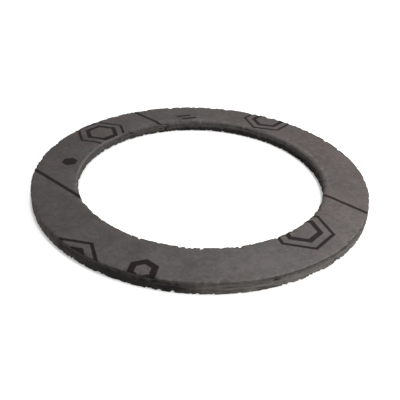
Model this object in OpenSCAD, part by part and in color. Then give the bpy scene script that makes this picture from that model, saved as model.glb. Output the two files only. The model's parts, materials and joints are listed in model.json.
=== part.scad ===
// Flat ring gasket, cut with a die from flexible graphite sheet.
// The ring lies on its underside. The origin is the centre of that face, and +Z runs up through the bore.
// The die pulls the printed top face down a little as it cuts, so both top edges are rolled over,
// and the underside keeps only a small edge break.

/* [Ring] */
// Outside diameter of the rim
outer_d = 80; // [72:0.5:200]
// Diameter of the bore
bore_d = 60; // [20:0.5:66]

/* [Sheet] */
// Thickness of the graphite sheet
sheet_t = 3; // [1.5:0.1:6]

/* [Cut edges] */
// Radius of the roll-over on the rim's top edge
rim_roll = 0.25; // [0.1:0.05:0.6]
// Radius of the roll-over on the bore's top edge
bore_roll = 0.35; // [0.1:0.05:0.6]
// Radius of the edge break round the underside
under_break = 0.15; // [0.05:0.05:0.3]

/* [Hidden] */
$fn = 128;

rim_r = outer_d / 2;
bore_r = bore_d / 2;
// Width of the sealing face, from bore to rim
land_w = rim_r - bore_r;

// What is taken off a square corner at the origin to round it. The section lies towards -X and -Y.
// The cutter stands proud of the corner by its own radius, so that no sliver is left.
module corner_waste(radius) {
    translate([-radius, -radius]) difference() {
        square(2 * radius);
        circle(radius);
    }
}

// Half section of the ring, with X as the radius and Y as the height above the underside
module ring_section() {
    difference() {
        translate([bore_r, 0]) square([land_w, sheet_t]);
        translate([rim_r, sheet_t]) corner_waste(rim_roll);
        translate([bore_r, sheet_t]) mirror([1, 0]) corner_waste(bore_roll);
        translate([rim_r, 0]) mirror([0, 1]) corner_waste(under_break);
        translate([bore_r, 0]) mirror([1, 0]) mirror([0, 1]) corner_waste(under_break);
    }
}

module gasket_ring() {
    color([0.37, 0.35, 0.34]) rotate_extrude() ring_section();
}

gasket_ring();
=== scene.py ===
import json
from math import cos, pi, radians, sin

import bpy
from mathutils import Matrix, Vector


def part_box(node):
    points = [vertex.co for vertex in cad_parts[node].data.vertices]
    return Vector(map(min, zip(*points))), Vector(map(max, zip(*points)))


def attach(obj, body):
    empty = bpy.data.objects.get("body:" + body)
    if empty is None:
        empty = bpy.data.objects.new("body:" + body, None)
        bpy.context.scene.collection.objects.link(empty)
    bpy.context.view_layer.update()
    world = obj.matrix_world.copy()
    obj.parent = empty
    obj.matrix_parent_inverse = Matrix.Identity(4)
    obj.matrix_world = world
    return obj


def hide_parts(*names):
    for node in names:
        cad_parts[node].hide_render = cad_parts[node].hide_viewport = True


# Flat graphite gasket: a ring cut with a die from dark grey sheet, with black print on its top face.
# Lengths are in metres, apart from those of the print and the patterns, which are in millimetres.

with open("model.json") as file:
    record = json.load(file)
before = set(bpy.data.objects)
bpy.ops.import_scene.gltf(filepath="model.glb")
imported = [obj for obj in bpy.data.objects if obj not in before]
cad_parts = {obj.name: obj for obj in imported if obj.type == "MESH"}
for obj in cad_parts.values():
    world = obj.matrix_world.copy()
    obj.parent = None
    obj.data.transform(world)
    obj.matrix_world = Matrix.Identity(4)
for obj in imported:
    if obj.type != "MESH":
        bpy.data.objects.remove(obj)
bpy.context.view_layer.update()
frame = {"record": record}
scene = bpy.context.scene

MM = 0.001

# The ring, from the frame
ring_low, ring_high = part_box("gasket_ring")
mounts = {mount["name"]: mount for mount in frame["record"]["mounts"]}
RIM_RADIUS = min(ring_high.x, -ring_low.x, ring_high.y, -ring_low.y)
# The soft sheet springs back behind the punch and closes the bore a little
SPRING_BACK = 0.45 * MM
BORE_RADIUS = mounts["bore"]["dims"]["r_mm"] * MM - SPRING_BACK
THICKNESS = ring_high.z - ring_low.z

# Roundings that the die leaves on the edges
RIM_ROLL = 0.25 * MM
BORE_ROLL = 0.35 * MM
UNDER_BREAK = 0.15 * MM

# How finely the ring is divided
STEPS_ROUND = 900
CORNER_STEPS = 4
FACE_STEP = 0.47 * MM
WALL_STEP = 0.125 * MM
# Points nearer than this are joined where the ring closes
SEAM_GAP = 0.001 * MM
# Rows that the unrolled ring is folded into on its bake map
MAP_ROWS = 3
MAP_MARGIN = 0.01

# Lip round the bore, where the punch draws the top face down: its whole width,
# the width that is at full depth, and that depth
LIP_WIDTH = 1.7 * MM
LIP_FLAT = 0.3 * MM
LIP_DROP = 0.20 * MM
# Share of the lip's depth that is left at the front
LIP_AT_FRONT = 0.15
# Unevenness of the sheet and of its cut walls
WAVE_HEIGHT = 0.05 * MM
LAYER_DEPTH = 0.08 * MM
RAGGED_DEPTH = 0.16 * MM
CRACK_DEPTH = 0.22 * MM
TEAR_DEPTH = 0.14 * MM
CHIP_DEPTH = 0.55 * MM
CHIP_REACH = 1.1 * MM

# Colours, linear
PALE_FLAKE = (0.118, 0.104, 0.099, 1)
DARK_FLAKE = (0.074, 0.067, 0.064, 1)
COOL_TINT = (0.968, 0.993, 1.008, 1)
WARM_TINT = (1.05, 0.98, 0.97, 1)
CUT_LAYER = (0.116, 0.106, 0.098, 1)
CUT_SHADE = (0.054, 0.049, 0.045, 1)
TORN_LAYER = (0.052, 0.047, 0.043, 1)
# Near-black of the cracks, also painted as shade on the walls and along the lip
CRACK_AND_SHADE = (0.010, 0.009, 0.009, 1)
# Pale of flakes pressed flat, also painted as highlights in the bore and on the lip, and as glints
BURNISH_AND_HIGHLIGHT = (0.150, 0.137, 0.128, 1)
INK = (0.010, 0.006, 0.006, 1)

# Patterns of the cut walls: how often they change in a millimetre along X, Y and Z
LAYER_PATTERN = (0.16, 0.16, 3.2)
ROUGH_PATTERN = (0.6, 0.6, 0.4)
CRACK_PATTERN = (0.09, 0.09, 1.5)
STREAK_PATTERN = (0.22, 0.22, 4.5)
SOIL_PATTERN = (0.9, 0.9, 0.4)
# Slow patches that place painted shade and painted highlights on the walls, and slow patches of tint on
# the faces: how often they change in a millimetre, and shifts in millimetres that move them round the ring
SHADING_PATCH_RATE = 0.018
SHADING_SHIFT = (239.0, -5.0, -298.0)
RIM_SHADING_SHIFT = (20.0, 116.0, -169.0)
TINT_PATCHES = 0.025
TINT_SHIFT = (57.0, -319.0, -104.0)
# Height of the painted highlight line in the bore, in millimetres above the underside
HIGHLIGHT_LINE_HEIGHT = 2.40
# Fine relief of the surface
RELIEF_STRENGTH = 0.25
RELIEF_HEIGHT = 0.05 * MM
SHEEN = 0.08

# Print on the sheet, in millimetres. It repeats in staggered rows, which the die cuts wherever they fall.
PRINT_TURN = -40.0
PRINT_SHIFT = (8.0, -18.0)
REPEAT_WIDTH = 64.0
ROW_HEIGHT = 40.0
ROW_STAGGER = 27.0
FINE = 0.72
DASH = 0.90
BOLD = 1.1
HEAVY = 1.3
SPOT = 1.7
# Raggedness of the ink's edge
INK_RAGGED = 0.22
# Each mark of the repeat has its centre, its turn in degrees, and its sizes: a bar's length,
# or a hexagon's width across its flat sides, and then the width of the line
BARS = (
    ((-13.9, -18.8), 0.0, 13.8, DASH),
    # This dash runs over the end of the repeat, so it is given on both sides of it
    ((25.7, -18.8), 0.0, 19.0, DASH),
    ((25.7 - REPEAT_WIDTH, -18.8), 0.0, 19.0, DASH),
    ((-6.4, -10.0), 60.0, 4.2, DASH),
    ((-4.2, -10.0), 60.0, 4.2, DASH),
)
HEXAGONS = (
    ((12.8, 5.5), 0.0, 11.6, FINE),
    ((12.8, 5.5), 0.0, 7.0, BOLD),
    ((25.6, 13.8), 30.0, 4.2, HEAVY),
    ((20.0, -10.6), 30.0, SPOT, SPOT),
)

# View, as a camera above the front edge
VIEW_DISTANCE = 131.2 * MM
VIEW_ELEVATION = 30.9
VIEW_PAN = 0.02
VIEW_TILT = -1.87
VIEW_ROLL = 2.77
LENS_MM = 47.93
SENSOR_MM = 36.0
NEAR_CLIP = 5 * MM


class Board:
    """A node tree, with short ways to place nodes on it and to wire them."""

    def __init__(self, tree):
        self.tree = tree

    def feed(self, socket, value):
        """Wires a socket to another one, or sets it to a plain value."""
        if isinstance(value, bpy.types.NodeSocket):
            self.tree.links.new(value, socket)
        else:
            socket.default_value = value

    def place(self, kind, sockets=None, **settings):
        """A node with its settings, and with what its sockets are given by name or number."""
        node = self.tree.nodes.new(kind)
        for name, value in settings.items():
            setattr(node, name, value)
        for key, value in (sockets or {}).items():
            self.feed(node.inputs[key], value)
        return node

    def math(self, operation, *values):
        sockets = dict(enumerate(values))
        return self.place("ShaderNodeMath", sockets, operation=operation).outputs[0]

    def vector(self, operation, *values):
        sockets = dict(enumerate(values))
        return self.place("ShaderNodeVectorMath", sockets, operation=operation).outputs["Vector"]

    def length(self, vector):
        return self.place("ShaderNodeVectorMath", {0: vector}, operation="LENGTH").outputs["Value"]

    def scaled(self, vector, factor):
        sockets = {"Vector": vector, "Scale": factor}
        return self.place("ShaderNodeVectorMath", sockets, operation="SCALE").outputs["Vector"]

    def split(self, vector):
        return self.place("ShaderNodeSeparateXYZ", {0: vector}).outputs

    def joined(self, x, y, z):
        return self.place("ShaderNodeCombineXYZ", {0: x, 1: y, 2: z}).outputs[0]

    def noise(self, vector, scale, detail=2.0, roughness=0.5, distortion=0.0):
        sockets = {
            "Vector": vector,
            "Scale": scale,
            "Detail": detail,
            "Roughness": roughness,
            "Distortion": distortion,
        }
        return self.place("ShaderNodeTexNoise", sockets, noise_dimensions="3D").outputs[0]

    def pattern(self, place_mm, often, detail, roughness):
        """Noise that changes as often in a millimetre along each axis as it is told."""
        squeezed = self.vector("MULTIPLY", place_mm, often)
        return self.noise(squeezed, 1.0, detail=detail, roughness=roughness)

    def patches(self, place_mm, shift, often):
        """Slow noise, moved by a shift in millimetres."""
        return self.noise(self.vector("ADD", place_mm, shift), often, detail=1.0)

    def step(self, value, low, high, to_low=0.0, to_high=1.0):
        """Smooth change from to_low to to_high as the value goes from low to high."""
        sockets = {
            "Value": value,
            "From Min": low,
            "From Max": high,
            "To Min": to_low,
            "To Max": to_high,
        }
        return self.place("ShaderNodeMapRange", sockets, interpolation_type="SMOOTHSTEP").outputs[0]

    def blend(self, share, first, second, way="MIX"):
        """Colour from first to second with the share. A Mix node's colour sockets go by number."""
        sockets = {0: share, 6: first, 7: second}
        return self.place("ShaderNodeMix", sockets, data_type="RGBA", blend_type=way).outputs[2]


def new_tree(name, kind, inputs, outputs):
    """A node group with named sockets: its board, what comes into it and what goes out."""
    tree = bpy.data.node_groups.new(name, kind)
    for socket_name, socket_type, value in inputs:
        socket = tree.interface.new_socket(socket_name, in_out="INPUT", socket_type=socket_type)
        if value is not None:
            socket.default_value = value
    for socket_name, socket_type in outputs:
        tree.interface.new_socket(socket_name, in_out="OUTPUT", socket_type=socket_type)
    board = Board(tree)
    entry = board.place("NodeGroupInput")
    leave = board.place("NodeGroupOutput")
    return board, entry.outputs, leave.inputs


RING_SIZES = {
    "Rim Radius": RIM_RADIUS,
    "Bore Radius": BORE_RADIUS,
    "Thickness": THICKNESS,
    "Rim Roll": RIM_ROLL,
    "Bore Roll": BORE_ROLL,
    "Under Break": UNDER_BREAK,
    "Face Step": FACE_STEP,
    "Wall Step": WALL_STEP,
    "Lip Width": LIP_WIDTH,
    "Lip Flat": LIP_FLAT,
    "Lip Drop": LIP_DROP,
    "Wave Height": WAVE_HEIGHT,
    "Layer Depth": LAYER_DEPTH,
    "Ragged Depth": RAGGED_DEPTH,
    "Crack Depth": CRACK_DEPTH,
    "Tear Depth": TEAR_DEPTH,
    "Chip Depth": CHIP_DEPTH,
    "Chip Reach": CHIP_REACH,
}
RING_COUNTS = {
    "Steps Round": STEPS_ROUND,
    "Corner Steps": CORNER_STEPS,
    "Map Rows": MAP_ROWS,
}


def ring_section(board, sizes):
    """Closed outline of the cut sheet, with X as the radius and Y as the height above the underside."""
    bore, rim, top = sizes["Bore Radius"], sizes["Rim Radius"], sizes["Thickness"]
    corners = {
        "Point 1": board.joined(bore, 0.0, 0.0),
        "Point 2": board.joined(rim, 0.0, 0.0),
        "Point 3": board.joined(rim, top, 0.0),
        "Point 4": board.joined(bore, top, 0.0),
    }
    square = board.place("GeometryNodeCurvePrimitiveQuadrilateral", corners, mode="POINTS")
    index = board.place("GeometryNodeInputIndex").outputs[0]
    rounding = board.place("GeometryNodeIndexSwitch", data_type="FLOAT")
    rounding.index_switch_items.new()
    rounding.index_switch_items.new()
    board.feed(rounding.inputs["Index"], index)
    order = ("Under Break", "Under Break", "Rim Roll", "Bore Roll")
    for number, name in enumerate(order):
        board.feed(rounding.inputs[number + 1], sizes[name])
    rounded = board.place("GeometryNodeFilletCurve", mode="POLY")
    board.feed(rounded.inputs["Curve"], square.outputs["Curve"])
    board.feed(rounded.inputs["Count"], sizes["Corner Steps"])
    board.feed(rounded.inputs["Radius"], rounding.outputs[0])

    # Straight stretches are divided, more finely up the walls than across the faces
    here = board.place("GeometryNodeInputPosition").outputs[0]
    following = board.place("GeometryNodeOffsetPointInCurve", {"Point Index": index, "Offset": 1})
    there = board.place("GeometryNodeFieldAtIndex", data_type="FLOAT_VECTOR", domain="POINT")
    board.feed(there.inputs["Index"], following.outputs["Point Index"])
    board.feed(there.inputs["Value"], here)
    stretch = board.vector("ABSOLUTE", board.vector("SUBTRACT", there.outputs[0], here))
    across, up, _ = board.split(stretch)
    face_cuts = board.math("DIVIDE", across, sizes["Face Step"])
    wall_cuts = board.math("DIVIDE", up, sizes["Wall Step"])
    cuts = board.math("FLOOR", board.math("ADD", face_cuts, wall_cuts))
    divided = board.place("GeometryNodeSubdivideCurve", {"Curve": rounded.outputs[0], "Cuts": cuts})
    return divided.outputs[0]


def unrolled_ring(board, sizes, section):
    """Grid with a row for each point of the section, rolled up into the ring. Its bake map is the grid."""
    count = board.place("GeometryNodeAttributeDomainSize", {0: section}, component="CURVE")
    points = count.outputs["Point Count"]
    grid = board.place("GeometryNodeMeshGrid", {"Size X": 1.0, "Size Y": 1.0})
    board.feed(grid.inputs["Vertices X"], board.math("ADD", sizes["Steps Round"], 1.0))
    board.feed(grid.inputs["Vertices Y"], board.math("ADD", points, 1.0))
    middle = (0.5, 0.5, 0.0)
    here = board.vector("ADD", board.place("GeometryNodeInputPosition").outputs[0], middle)
    turn, rise, _ = board.split(here)
    row = board.math("ROUND", board.math("MULTIPLY", rise, points))
    point = board.math("MODULO", row, points)

    def sampled(value, kind):
        node = board.place("GeometryNodeSampleIndex", data_type=kind, domain="POINT")
        board.feed(node.inputs["Geometry"], section)
        board.feed(node.inputs["Value"], value)
        board.feed(node.inputs["Index"], point)
        return node.outputs[0]

    # Bake map: the way round is folded into rows, and each row holds the way along the section
    whole = board.place("GeometryNodeCurveLength", {0: section}).outputs[0]
    travelled = sampled(board.place("GeometryNodeSplineParameter").outputs["Length"], "FLOAT")
    laps = board.math("FLOOR", board.math("DIVIDE", row, points))
    share = board.math("ADD", board.math("DIVIDE", travelled, whole), laps)
    face_turn = board.place("GeometryNodeFieldOnDomain", {0: turn}, data_type="FLOAT", domain="FACE")
    fold = board.math("FLOOR", board.math("MULTIPLY", face_turn.outputs[0], sizes["Map Rows"]))
    along = board.math("SUBTRACT", board.math("MULTIPLY", turn, sizes["Map Rows"]), fold)
    inner = 1 - 2 * MAP_MARGIN
    map_x = board.math("MULTIPLY_ADD", along, inner, MAP_MARGIN)
    map_row = board.math("ADD", fold, board.math("MULTIPLY_ADD", share, inner, MAP_MARGIN))
    map_y = board.math("DIVIDE", map_row, sizes["Map Rows"])
    mapped = board.place("GeometryNodeStoreNamedAttribute", data_type="FLOAT2", domain="CORNER")
    board.feed(mapped.inputs["Geometry"], grid.outputs["Mesh"])
    board.feed(mapped.inputs["Name"], "OFBake")
    board.feed(mapped.inputs["Value"], board.joined(map_x, map_y, 0.0))

    angle = board.math("MULTIPLY", turn, 2 * pi)
    section_spot = board.place("GeometryNodeInputPosition").outputs[0]
    radius, height, _ = board.split(sampled(section_spot, "FLOAT_VECTOR"))
    x = board.math("MULTIPLY", radius, board.math("COSINE", angle))
    y = board.math("MULTIPLY", radius, board.math("SINE", angle))
    rolled = board.place("GeometryNodeSetPosition", {"Geometry": mapped.outputs[0]})
    board.feed(rolled.inputs["Position"], board.joined(x, y, height))
    closed = board.place("GeometryNodeMergeByDistance", {"Distance": SEAM_GAP})
    board.feed(closed.inputs["Geometry"], rolled.outputs[0])
    return closed.outputs[0]


def marked(board, ring, name, value):
    """The ring with a value stored on its points, for the material to read."""
    node = board.place("GeometryNodeStoreNamedAttribute", data_type="FLOAT", domain="POINT")
    board.feed(node.inputs["Geometry"], ring)
    board.feed(node.inputs["Name"], name)
    board.feed(node.inputs["Value"], value)
    return node.outputs[0]


def cut_and_worn(board, sizes, ring):
    """The ring with a lip round its bore, torn and layered walls, chipped edges and wavy faces."""
    normal = board.place("GeometryNodeInputNormal").outputs[0]
    spot = board.place("GeometryNodeInputPosition").outputs[0]
    place_mm = board.scaled(spot, 1 / MM)
    height = board.split(spot)[2]
    rise = board.math("DIVIDE", height, sizes["Thickness"])
    reach = board.length(board.vector("MULTIPLY", spot, (1.0, 1.0, 0.0)))
    facing = board.math("ABSOLUTE", board.split(normal)[2])
    cut = board.math("SUBTRACT", 1.0, facing)

    # The punch leaves the bore smooth above and torn below, and the rim torn above and smooth below
    middle = board.math("MULTIPLY", board.math("ADD", sizes["Bore Radius"], sizes["Rim Radius"]), 0.5)
    on_rim = board.math("GREATER_THAN", reach, middle)
    drift = board.math("SUBTRACT", board.noise(place_mm, 0.16, detail=3.0), 0.5)
    level = board.math("ADD", rise, board.math("MULTIPLY", drift, 0.5))
    torn_rim = board.math("MULTIPLY", on_rim, board.step(level, 0.46, 0.66))
    torn_bore = board.math("MULTIPLY", board.math("SUBTRACT", 1.0, on_rim), board.step(level, 0.78, 0.48))
    torn = board.math("MULTIPLY", cut, board.math("ADD", torn_rim, torn_bore))

    layers = board.pattern(place_mm, LAYER_PATTERN, detail=3.0, roughness=0.6)
    rough = board.pattern(place_mm, ROUGH_PATTERN, detail=4.0, roughness=0.6)
    ridges = board.pattern(place_mm, CRACK_PATTERN, detail=2.0, roughness=0.5)
    open_layers = board.step(board.math("ABSOLUTE", board.math("SUBTRACT", ridges, 0.5)), 0.035, 0.008)
    in_places = board.step(board.noise(place_mm, 0.14, detail=1.0), 0.47, 0.56)
    crack = board.math("MULTIPLY", open_layers, in_places)
    crack = board.math("MULTIPLY", crack, board.step(cut, 0.6, 0.95))

    # Chips along the four edges, each one as deep on the face as on the wall
    land = board.math("SUBTRACT", sizes["Rim Radius"], sizes["Bore Radius"])
    edge_radius = board.math("MULTIPLY_ADD", on_rim, land, sizes["Bore Radius"])
    on_top = board.math("GREATER_THAN", rise, 0.5)
    edge_height = board.math("MULTIPLY", on_top, sizes["Thickness"])
    outward = board.vector("NORMALIZE", board.vector("MULTIPLY", spot, (1.0, 1.0, 0.0)))
    corner = board.vector("ADD", board.scaled(outward, edge_radius), board.joined(0.0, 0.0, edge_height))
    aside = board.math("ABSOLUTE", board.math("SUBTRACT", reach, edge_radius))
    above = board.math("ABSOLUTE", board.math("SUBTRACT", height, edge_height))
    at_edge = board.step(board.math("ADD", aside, above), sizes["Chip Reach"], 0.0)
    crumbs = board.noise(board.scaled(corner, 1 / MM), 0.8, detail=4.0, roughness=0.65)
    chip = board.math("MULTIPLY", board.step(crumbs, 0.46, 0.74), at_edge)
    into_land = board.scaled(outward, board.math("MULTIPLY_ADD", on_rim, -2.0, 1.0))
    into_sheet = board.joined(0.0, 0.0, board.math("MULTIPLY_ADD", on_top, -2.0, 1.0))
    diagonal = board.scaled(board.vector("ADD", into_land, into_sheet), cos(radians(45)))
    chipped = board.scaled(diagonal, board.math("MULTIPLY", chip, sizes["Chip Depth"]))

    sunk = board.math("MULTIPLY", torn, sizes["Tear Depth"])
    sunk = board.math("MULTIPLY_ADD", crack, sizes["Crack Depth"], sunk)
    # Layers and tears swing both ways in the bore, but never out beyond the rim
    layer_swing = board.step(layers, 0.25, 0.75, -1.0, 1.0)
    rough_swing = board.step(rough, 0.25, 0.75, -1.0, 1.0)
    swing = board.math("MULTIPLY", layer_swing, sizes["Layer Depth"])
    swing = board.math("MULTIPLY_ADD", rough_swing, sizes["Ragged Depth"], swing)
    swing = board.math("SUBTRACT", board.math("MULTIPLY", swing, cut), sunk)
    limit = board.math("SUBTRACT", 1.0, on_rim)
    move = board.vector("ADD", board.scaled(normal, board.math("MINIMUM", swing, limit)), chipped)

    lip_end = board.math("ADD", sizes["Bore Radius"], sizes["Lip Width"])
    lip_start = board.math("ADD", sizes["Bore Radius"], sizes["Lip Flat"])
    lip = board.math("MULTIPLY", board.step(reach, lip_end, lip_start), board.math("POWER", rise, 3.0))
    # The punch stood a little askew, so the lip is shallow at the front
    to_front = board.math("MULTIPLY", sizes["Bore Radius"], -1.0)
    askew = board.step(board.split(spot)[1], to_front, sizes["Bore Radius"], LIP_AT_FRONT, 1.0)
    lip = board.math("MULTIPLY", lip, askew)
    # The wave lifts the underside and lowers the top face, so the sheet keeps within its thickness
    swell = board.step(board.noise(place_mm, 0.035, detail=1.0), 0.3, 0.7)
    lift = board.math("MULTIPLY", board.math("SUBTRACT", swell, rise), sizes["Wave Height"])
    lift = board.math("SUBTRACT", lift, board.math("MULTIPLY", lip, sizes["Lip Drop"]))

    for name, value in (("cut", cut), ("torn", torn), ("crack", crack)):
        ring = marked(board, ring, name, value)
    moved = board.place("GeometryNodeSetPosition", {"Geometry": ring})
    board.feed(moved.inputs["Offset"], board.vector("ADD", move, board.joined(0.0, 0.0, lift)))
    return moved.outputs[0]


def make_ring(material):
    """The finished ring as a plain mesh."""
    inputs = [(name, "NodeSocketFloat", value) for name, value in RING_SIZES.items()]
    inputs += [(name, "NodeSocketInt", value) for name, value in RING_COUNTS.items()]
    board, sizes, result = new_tree(
        "die_cut_ring", "GeometryNodeTree", inputs, [("Ring", "NodeSocketGeometry")]
    )
    section = ring_section(board, sizes)
    ring = cut_and_worn(board, sizes, unrolled_ring(board, sizes, section))
    smooth = board.place("GeometryNodeSetShadeSmooth", {"Geometry": ring})
    whole = board.place("GeometryNodeRealizeInstances", {"Geometry": smooth.outputs[0]})
    painted = board.place("GeometryNodeSetMaterial", {"Geometry": whole.outputs[0], "Material": material})
    board.feed(result["Ring"], painted.outputs[0])

    maker = bpy.data.objects.new("ring_maker", bpy.data.meshes.new("ring_maker"))
    scene.collection.objects.link(maker)
    modifier = maker.modifiers.new("die_cut_ring", "NODES")
    modifier.node_group = board.tree
    for item in board.tree.interface.items_tree:
        if item.in_out == "INPUT":
            modifier[item.identifier] = {**RING_SIZES, **RING_COUNTS}[item.name]
    graph = bpy.context.evaluated_depsgraph_get()
    mesh = bpy.data.meshes.new_from_object(
        maker.evaluated_get(graph), preserve_all_data_layers=True, depsgraph=graph
    )
    mesh.name = "graphite_ring"
    # The grid brings an empty material slot of its own, in front of the sheet's
    mesh.materials.pop(index=0)
    bpy.data.objects.remove(maker)
    ring = bpy.data.objects.new("graphite_ring", mesh)
    scene.collection.objects.link(ring)
    return ring


MARK_SOCKETS = [
    ("Place", "NodeSocketVector", None),
    ("Centre", "NodeSocketVector", None),
    ("Turn", "NodeSocketVector", None),
]


def mark_group(name, size_names, shape):
    """Shader group for one kind of printed mark.

    It puts out the distance from the mark's edge, which is below 0 in the ink.
    """
    inputs = MARK_SOCKETS + [(size, "NodeSocketFloat", 1.0) for size in size_names]
    board, given, result = new_tree(name, "ShaderNodeTree", inputs, [("Distance", "NodeSocketFloat")])
    local = board.place("ShaderNodeMapping", vector_type="TEXTURE")
    board.feed(local.inputs["Vector"], given["Place"])
    board.feed(local.inputs["Location"], given["Centre"])
    board.feed(local.inputs["Rotation"], given["Turn"])
    x, y, _ = board.split(board.vector("ABSOLUTE", local.outputs[0]))
    board.feed(result["Distance"], shape(board, x, y, given))
    return board.tree


def half(board, size):
    return board.math("MULTIPLY", size, 0.5)


def hexagon_shape(board, x, y, given):
    slant = board.math("MULTIPLY_ADD", y, cos(radians(30)), half(board, x))
    inside = board.math("SUBTRACT", board.math("MAXIMUM", x, slant), half(board, given["Across"]))
    return board.math("SUBTRACT", board.math("ABSOLUTE", inside), half(board, given["Line"]))


def bar_shape(board, x, y, given):
    ends = board.math("SUBTRACT", x, half(board, given["Length"]))
    sides = board.math("SUBTRACT", y, half(board, given["Line"]))
    return board.math("MAXIMUM", ends, sides)


def place_in_repeat(board, place_mm):
    """Place within one repeat of the print, measured from the repeat's middle."""
    turned = board.place("ShaderNodeMapping", {"Vector": place_mm}, vector_type="TEXTURE")
    board.feed(turned.inputs["Location"], (*PRINT_SHIFT, 0))
    board.feed(turned.inputs["Rotation"], (0, 0, radians(PRINT_TURN)))
    along, across, _ = board.split(turned.outputs[0])
    row = board.math("ROUND", board.math("DIVIDE", across, ROW_HEIGHT))
    staggered = board.math("SUBTRACT", along, board.math("MULTIPLY", row, ROW_STAGGER))
    x = board.math("WRAP", staggered, REPEAT_WIDTH / 2, -REPEAT_WIDTH / 2)
    y = board.math("SUBTRACT", across, board.math("MULTIPLY", row, ROW_HEIGHT))
    return board.joined(x, y, 0.0)


def print_distance(board, place_mm):
    """Distance from the edge of the nearest printed mark, in millimetres."""
    kinds = (
        (mark_group("straight_bar", ("Length", "Line"), bar_shape), ("Length", "Line"), BARS),
        (mark_group("hexagon", ("Across", "Line"), hexagon_shape), ("Across", "Line"), HEXAGONS),
    )
    place = place_in_repeat(board, place_mm)
    nearest = None
    for tree, size_names, marks in kinds:
        for (x, y), turn, *sizes in marks:
            mark = board.place("ShaderNodeGroup", node_tree=tree)
            board.feed(mark.inputs["Place"], place)
            board.feed(mark.inputs["Centre"], (x, y, 0))
            board.feed(mark.inputs["Turn"], (0, 0, radians(turn)))
            for name, size in zip(size_names, sizes):
                board.feed(mark.inputs[name], size)
            distance = mark.outputs["Distance"]
            nearest = distance if nearest is None else board.math("MINIMUM", nearest, distance)
    return nearest


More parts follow.
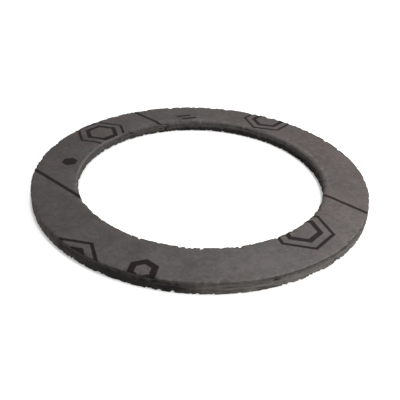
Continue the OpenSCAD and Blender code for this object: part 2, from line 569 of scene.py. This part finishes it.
def graphite_material():
    """Printed graphite: mottled flakes on the faces, dark layers on the walls with painted shade and
    highlights, black ink on the top.
    """
    material = bpy.data.materials.new("printed_graphite")
    material.use_nodes = True
    board = Board(material.node_tree)
    board.tree.nodes.clear()
    spot = board.place("ShaderNodeTexCoord").outputs["Object"]
    place_mm = board.scaled(spot, 1 / MM)
    height = board.split(place_mm)[2]
    cut = board.place("ShaderNodeAttribute", attribute_name="cut").outputs["Fac"]
    wall = board.step(cut, 0.35, 0.85)

    # Faces: soft blotches, a felted grain of flakes and fibres, and single missing flakes or pale flakes
    # whose paleness is partly a painted glint
    blotches = board.noise(place_mm, 0.16, detail=3.0, roughness=0.55)
    felt = board.noise(place_mm, 0.9, detail=3.0, roughness=0.65, distortion=0.4)
    flakes = board.noise(place_mm, 2.6, detail=4.0, roughness=0.7, distortion=0.6)
    tone = board.math("ADD", board.math("MULTIPLY", blotches, 0.35), board.math("MULTIPLY", felt, 0.35))
    tone = board.math("MULTIPLY_ADD", flakes, 0.30, tone)
    face = board.blend(board.step(tone, 0.37, 0.63), DARK_FLAKE, PALE_FLAKE)
    slow_hue = board.patches(place_mm, TINT_SHIFT, TINT_PATCHES)
    hue = board.math("ADD", slow_hue, board.noise(place_mm, 0.4, detail=2.0))
    tint = board.blend(board.step(hue, 0.85, 1.15), COOL_TINT, WARM_TINT)
    face = board.blend(1.0, face, tint, way="MULTIPLY")
    hairs = board.noise(place_mm, 0.55, detail=2.0, roughness=0.5, distortion=2.0)
    fibres = board.step(board.math("ABSOLUTE", board.math("SUBTRACT", hairs, 0.5)), 0.024, 0.004)
    face = board.blend(board.math("MULTIPLY", fibres, 0.20), face, BURNISH_AND_HIGHLIGHT)
    cells = board.place("ShaderNodeTexVoronoi", {"Vector": place_mm, "Scale": 1.6})
    speck = board.step(cells.outputs["Distance"], 0.30, 0.12)
    draw = board.split(cells.outputs["Color"])[0]
    pale_glint = board.math("MULTIPLY", speck, board.math("GREATER_THAN", draw, 0.86))
    missing = board.math("MULTIPLY", speck, board.math("LESS_THAN", draw, 0.10))
    # Pale flakes: partly their own colour, partly a painted glint
    face = board.blend(board.math("MULTIPLY", pale_glint, 0.60), face, BURNISH_AND_HIGHLIGHT)
    face = board.blend(board.math("MULTIPLY", missing, 0.60), face, CUT_SHADE)

    # Walls: streaks along the sheet's layers, dull where they are torn and duller still on the shaded side
    # as painted shade, and black in the cracks
    layers = board.pattern(place_mm, STREAK_PATTERN, detail=4.0, roughness=0.65)
    streaks = board.blend(board.step(layers, 0.33, 0.66), CUT_SHADE, CUT_LAYER)
    torn = board.place("ShaderNodeAttribute", attribute_name="torn").outputs["Fac"]
    # Slow patches that place painted shade and painted highlights round the walls
    shading_patches = board.patches(place_mm, SHADING_SHIFT, SHADING_PATCH_RATE)
    torn_dull_and_shade = board.math("MULTIPLY", torn, board.step(shading_patches, 0.32, 0.68, 0.35, 0.75))
    reach = board.length(board.vector("MULTIPLY", place_mm, (1.0, 1.0, 0.0)))
    bore = BORE_RADIUS / MM
    middle = (RIM_RADIUS + BORE_RADIUS) / 2 / MM
    in_bore = board.step(reach, middle + 1.0, middle - 1.0)
    streaks = board.blend(torn_dull_and_shade, streaks, TORN_LAYER)
    uneven = board.pattern(place_mm, SOIL_PATTERN, detail=3.0, roughness=0.6)
    level = board.math("MULTIPLY_ADD", board.math("SUBTRACT", uneven, 0.5), 1.8, height)
    rim_shading_patches = board.patches(place_mm, RIM_SHADING_SHIFT, SHADING_PATCH_RATE)
    # Painted shade: the rim's walls darken towards their foot in patches on the shaded side; the bore's
    # walls darken from the foot up, higher on the shaded side, and a little all over there
    rim_shade = board.step(level, 2.6, 1.5, 0.0, 0.80)
    rim_shade = board.math("MULTIPLY", board.step(rim_shading_patches, 0.53, 0.72), rim_shade)
    foot_shade_top = board.step(shading_patches, 0.32, 0.72, 0.3, 2.05)
    bore_shade = board.step(level, foot_shade_top, board.math("SUBTRACT", foot_shade_top, 0.6), 0.0, 0.88)
    bore_shade = board.math("MAXIMUM", bore_shade, board.step(shading_patches, 0.48, 0.60, 0.0, 0.20))
    bore_minus_rim_shade = board.math("SUBTRACT", bore_shade, rim_shade)
    painted_wall_shade = board.math("MULTIPLY_ADD", in_bore, bore_minus_rim_shade, rim_shade)
    streaks = board.blend(painted_wall_shade, streaks, CRACK_AND_SHADE)
    # Painted highlight: on the bore's lit side, a pale line below its top edge
    lit_bore = board.math("MULTIPLY", in_bore, board.step(shading_patches, 0.44, 0.33))
    highlight_line_at = board.math("MULTIPLY_ADD", board.math("SUBTRACT", uneven, 0.5), 0.5, HIGHLIGHT_LINE_HEIGHT)
    highlight_line = board.step(board.math("ABSOLUTE", board.math("SUBTRACT", height, highlight_line_at)), 0.34, 0.12)
    streaks = board.blend(board.math("MULTIPLY", highlight_line, lit_bore), streaks, BURNISH_AND_HIGHLIGHT)
    crack = board.place("ShaderNodeAttribute", attribute_name="crack").outputs["Fac"]
    streaks = board.blend(crack, streaks, CRACK_AND_SHADE)
    colour = board.blend(wall, face, streaks)
    # Painted shade under the rim's top edge, on the rim's lit side
    rim = RIM_RADIUS / MM
    shade_under_edge = board.math("MULTIPLY", board.step(height, 2.92, 2.78), board.step(height, 1.9, 2.4))
    shade_under_edge = board.math("MULTIPLY", shade_under_edge, board.step(reach, rim - 1.4, rim - 0.9))
    shade_under_edge = board.math("MULTIPLY", shade_under_edge, board.step(rim_shading_patches, 0.44, 0.36, 0.0, 0.45))
    colour = board.blend(shade_under_edge, colour, CRACK_AND_SHADE)

    # Edges: flakes pressed flat and bright, all round the bore and here and there on the rim
    edge = board.math("MULTIPLY", board.math("MULTIPLY", cut, board.math("SUBTRACT", 1.0, cut)), 4.0)
    upper = board.step(height, 1.8, 2.4)
    worn = board.step(board.noise(place_mm, 0.8, detail=3.0), 0.35, 0.65)
    rubbed = board.math("MULTIPLY", board.math("MULTIPLY", board.math("POWER", edge, 2.0), upper), worn)
    bare = board.math("MULTIPLY_ADD", in_bore, 0.15, 0.10)
    rubbed = board.math("MULTIPLY", rubbed, bare)
    # Painted highlight on the lip towards the back, where the lip is deep, and painted shade along its
    # very edge on the shaded side
    toward_back = board.step(board.split(place_mm)[1], -12.0, 8.0)
    past_edge = board.step(reach, bore + 0.5, bore + 1.0)
    lip_highlight = board.math("MULTIPLY", board.step(reach, bore + 2.0, bore + 1.3), past_edge)
    lip_highlight = board.math("MULTIPLY", board.math("MULTIPLY", lip_highlight, upper), board.math("MULTIPLY", worn, toward_back))
    lip_highlight = board.math("MULTIPLY", lip_highlight, board.step(shading_patches, 0.40, 0.48, 0.0, 0.75))
    lip_edge_shade = board.math("MULTIPLY", board.step(reach, bore + 0.9, bore + 0.2), upper)
    lip_edge_shade = board.math("MULTIPLY", lip_edge_shade, board.step(shading_patches, 0.50, 0.60, 0.0, 0.25))
    colour = board.blend(lip_edge_shade, colour, CRACK_AND_SHADE)
    colour = board.blend(board.math("ADD", rubbed, lip_highlight), colour, BURNISH_AND_HIGHLIGHT)

    # Ink: a slightly ragged edge and a patchy cover
    nibbles = board.math("SUBTRACT", board.noise(place_mm, 3.0, detail=3.0), 0.5)
    ragged = board.math("MULTIPLY", nibbles, INK_RAGGED)
    distance = board.math("ADD", print_distance(board, place_mm), ragged)
    printed = board.math("MULTIPLY", board.step(distance, 0.12, -0.10), board.step(cut, 0.75, 0.35))
    printed = board.math("MULTIPLY", printed, board.step(height, 2.0, 2.5))
    cover = board.step(board.noise(place_mm, 1.7, detail=4.0, roughness=0.7), 0.25, 0.5, 0.88, 1.0)
    ink = board.math("MULTIPLY", printed, cover)
    colour = board.blend(ink, colour, INK)

    roughness = board.math("MULTIPLY_ADD", flakes, 0.20, 0.55)
    roughness = board.math("MULTIPLY_ADD", wall, 0.12, roughness)
    roughness = board.math("MULTIPLY_ADD", pale_glint, -0.20, roughness)
    grit = board.noise(place_mm, 7.0, detail=3.0)
    relief = board.math("ADD", flakes, board.math("MULTIPLY", grit, 0.6))
    relief = board.math("ADD", relief, board.math("MULTIPLY", felt, 1.2))
    relief = board.math("MULTIPLY_ADD", fibres, 0.3, relief)
    relief = board.math("MULTIPLY_ADD", missing, -0.6, relief)
    relief = board.math("ADD", relief, board.math("MULTIPLY", board.math("MULTIPLY", layers, wall), 2.0))
    bump = board.place("ShaderNodeBump", {"Strength": RELIEF_STRENGTH, "Distance": RELIEF_HEIGHT})
    board.feed(bump.inputs["Height"], relief)
    shader = board.place("ShaderNodeBsdfPrincipled", {"Specular IOR Level": SHEEN})
    board.feed(shader.inputs["Base Color"], colour)
    board.feed(shader.inputs["Roughness"], roughness)
    board.feed(shader.inputs["Normal"], bump.outputs[0])
    output = board.place("ShaderNodeOutputMaterial")
    board.feed(output.inputs["Surface"], shader.outputs[0])
    return material


FLOOR_SIZE = 4.0
FLOOR_DROP = 0.02 * MM
FLOOR_GREY = 0.70
# The floor is plain white from this far out. It glows less near the ring, and least at the foot
# of the ring's walls, where it keeps the shadow.
FLOOR_WHITE_FROM = 200 * MM
FLOOR_GLOW = 0.86
FOOT_GLOW = 0.35
FOOT_WIDTH = 0.8 * MM


def seen_directly(board):
    """1 for what the camera sees itself, in a mirror or through glass, otherwise 0."""
    path = board.place("ShaderNodeLightPath").outputs
    mirrored = board.math("MAXIMUM", path["Is Glossy Ray"], path["Is Transmission Ray"])
    return board.math("MAXIMUM", path["Is Camera Ray"], mirrored)


def lay_floor():
    """Plain white floor that keeps the ring's shadow."""
    mesh = bpy.data.meshes.new("floor")
    half_size = FLOOR_SIZE / 2
    signs = ((-1, -1), (1, -1), (1, 1), (-1, 1))
    corners = [(x * half_size, y * half_size, -FLOOR_DROP) for x, y in signs]
    mesh.from_pydata(corners, [], [(0, 1, 2, 3)])
    floor = bpy.data.objects.new("floor", mesh)
    scene.collection.objects.link(floor)
    material = bpy.data.materials.new("white_floor")
    material.use_nodes = True
    board = Board(material.node_tree)
    board.tree.nodes.clear()
    matt = board.place("ShaderNodeBsdfDiffuse", {"Color": (FLOOR_GREY, FLOOR_GREY, FLOOR_GREY, 1)})
    glow = board.place("ShaderNodeEmission", {"Color": (1, 1, 1, 1)})
    distance = board.length(board.place("ShaderNodeTexCoord").outputs["Object"])
    far = board.step(distance, RIM_RADIUS, FLOOR_WHITE_FROM, 0.0, 1 - FLOOR_GLOW)
    from_land = board.math("ABSOLUTE", board.math("SUBTRACT", distance, (RIM_RADIUS + BORE_RADIUS) / 2))
    half_land = (RIM_RADIUS - BORE_RADIUS) / 2
    near = board.step(from_land, half_land, half_land + FOOT_WIDTH, FOOT_GLOW, FLOOR_GLOW)
    white = board.math("ADD", near, far)
    board.feed(glow.inputs["Strength"], board.math("MULTIPLY", seen_directly(board), white))
    both = board.place("ShaderNodeAddShader", {0: matt.outputs[0], 1: glow.outputs[0]})
    board.place("ShaderNodeOutputMaterial", {"Surface": both.outputs[0]})
    mesh.materials.append(material)


SKY_LIGHT = 0.07
# Lamps that face the ring's centre: place and size in metres, and watts
LAMPS = {
    "high_lamp": ((0.064, 0.042, 0.118), 0.08, 0.126),
    "front_lamp": ((0.074, -0.080, 0.060), 0.06, 0.134),
    "left_lamp": ((-0.197, -0.024, 0.050), 0.08, 0.100),
}


def light_studio():
    """White behind the ring, a little light from all round, and the lamps."""
    world = bpy.data.worlds.new("studio")
    world.use_nodes = True
    scene.world = world
    board = Board(world.node_tree)
    board.tree.nodes.clear()
    white = board.math("MULTIPLY_ADD", seen_directly(board), 1 - SKY_LIGHT, SKY_LIGHT)
    sky = board.place("ShaderNodeBackground", {"Color": (1, 1, 1, 1), "Strength": white})
    board.place("ShaderNodeOutputWorld", {"Surface": sky.outputs[0]})
    for name, (place, size, watts) in LAMPS.items():
        add_lamp(name, Vector(place), size, watts)


def add_lamp(name, place, size, watts):
    data = bpy.data.lights.new(name, "AREA")
    data.size = size
    data.energy = watts
    lamp = bpy.data.objects.new(name, data)
    lamp.location = place
    lamp.visible_camera = False
    lamp.rotation_mode = "QUATERNION"
    lamp.rotation_quaternion = (-place).to_track_quat("-Z", "Y")
    scene.collection.objects.link(lamp)


def place_camera():
    """Camera in front of the ring, raised, and turned a little off its centre."""
    data = bpy.data.cameras.new("camera")
    data.sensor_width = SENSOR_MM
    data.lens = LENS_MM
    data.clip_start = NEAR_CLIP
    camera = bpy.data.objects.new("camera", data)
    scene.collection.objects.link(camera)
    rise = radians(VIEW_ELEVATION)
    stand = Matrix.Translation((0, -VIEW_DISTANCE * cos(rise), VIEW_DISTANCE * sin(rise)))
    aim = Matrix.Rotation(radians(90 - VIEW_ELEVATION), 4, "X")
    pan = Matrix.Rotation(radians(-VIEW_PAN), 4, "Y")
    tilt = Matrix.Rotation(radians(VIEW_TILT), 4, "X")
    roll = Matrix.Rotation(radians(VIEW_ROLL), 4, "Z")
    camera.matrix_world = stand @ aim @ pan @ tilt @ roll
    scene.camera = camera


scene.view_settings.view_transform = "Standard"
place_camera()
lay_floor()
light_studio()
ring = make_ring(graphite_material())
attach(ring, "root")
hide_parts("gasket_ring")
